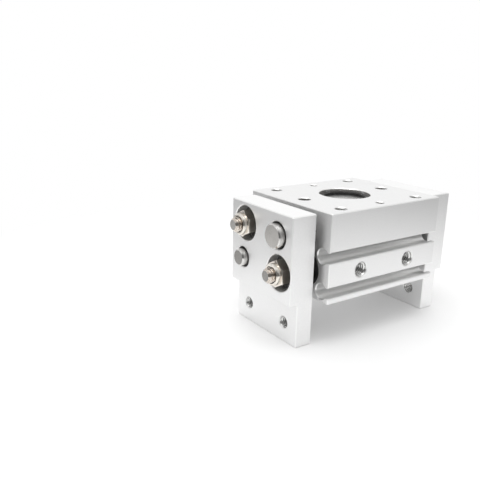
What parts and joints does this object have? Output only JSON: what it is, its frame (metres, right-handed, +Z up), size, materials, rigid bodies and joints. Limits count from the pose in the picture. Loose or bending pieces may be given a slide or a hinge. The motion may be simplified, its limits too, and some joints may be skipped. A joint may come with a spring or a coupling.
{
  "type": "wide-opening parallel pneumatic gripper",
  "caption": "Parallel air gripper with a rectangular slotted body, L-shaped fingers on through rods and racks, and locknuts in round recesses.",
  "frame": {"origin": "on the floor under the middle of the body, with the fingers closed and standing on their legs", "axes": "+X along the fingers' travel towards the right finger, +Y towards the back away from the air ports, +Z up through the mounting face"},
  "size_m": [0.083, 0.0424, 0.0446],
  "materials": {
    "anodised_aluminium": "fine blasted and clear anodised, satin",
    "cover_aluminium": "turned and clear anodised",
    "ground_steel": "ground bar with turned ends",
    "gear_steel": "cut teeth, lightly oiled",
    "nickel_steel": "bright nickel plate",
    "black_steel": "black phosphate",
    "dark_aluminium": "black anodised",
    "bearing_bronze": "sintered, oily",
    "black_rubber": "matt moulded rubber",
    "bumper_rubber": "amber urethane",
    "magnet": "bonded magnet, dull"
  },
  "bodies": {
    "housing": {"body": "anodised_aluminium", "pinion_cover": "cover_aluminium", "pinion_shaft": "gear_steel", "lower_pinion_washer": "gear_steel", "upper_pinion_washer": "gear_steel", "retaining_ring": "black_steel", "front_right_cover_clip": "black_steel", "front_left_cover_clip": "black_steel", "rear_right_cover_clip": "black_steel", "rear_left_cover_clip": "black_steel", "front_right_rod_cover": "dark_aluminium", "front_left_rod_cover": "dark_aluminium", "rear_right_rod_cover": "dark_aluminium", "rear_left_rod_cover": "dark_aluminium", "front_right_rack_bush": "bearing_bronze", "front_left_rack_bush": "bearing_bronze", "rear_right_rack_bush": "bearing_bronze", "rear_left_rack_bush": "bearing_bronze", "front_right_cover_ring": "black_rubber", "front_left_cover_ring": "black_rubber", "rear_right_cover_ring": "black_rubber", "rear_left_cover_ring": "black_rubber", "front_right_rod_seal": "black_rubber", "front_left_rod_seal": "black_rubber", "rear_right_rod_seal": "black_rubber", "rear_left_rod_seal": "black_rubber", "front_right_rack_scraper": "black_rubber", "front_left_rack_scraper": "black_rubber", "rear_right_rack_scraper": "black_rubber", "rear_left_rack_scraper": "black_rubber"},
    "left_jaw": {"left_finger": "anodised_aluminium", "rear_rack": "ground_steel", "front_piston_rod": "ground_steel", "front_piston": "dark_aluminium", "front_piston_seals": "black_rubber", "front_piston_magnet": "magnet", "front_piston_bumpers": "bumper_rubber", "left_lock_nuts": "nickel_steel", "left_spring_washers": "black_steel"},
    "right_jaw": {"right_finger": "anodised_aluminium", "front_rack": "ground_steel", "rear_piston_rod": "ground_steel", "rear_piston": "dark_aluminium", "rear_piston_seals": "black_rubber", "rear_piston_magnet": "magnet", "rear_piston_bumpers": "bumper_rubber", "right_lock_nuts": "nickel_steel", "right_spring_washers": "black_steel"},
    "pinion": {"pinion": "gear_steel"}
  },
  "joints": [
    {"name": "left_finger_slide", "type": "slide", "parent": "housing", "child": "left_jaw", "axis": [-1, 0, 0], "range_m": [0, 0.01]},
    {"name": "right_finger_slide", "type": "slide", "parent": "housing", "child": "right_jaw", "axis": [1, 0, 0], "range_m": [0, 0.01]},
    {"name": "pinion_spin", "type": "hinge", "parent": "housing", "child": "pinion", "pos_m": [0, 0, 0.03657], "axis": [0, 0, 1], "range_deg": [0, 95.5]}
  ],
  "couplings": [
    {"joint": "right_finger_slide", "follows": "left_finger_slide", "ratio": 1},
    {"joint": "pinion_spin", "follows": "left_finger_slide", "rad_per_m": 166.67}
  ]
}
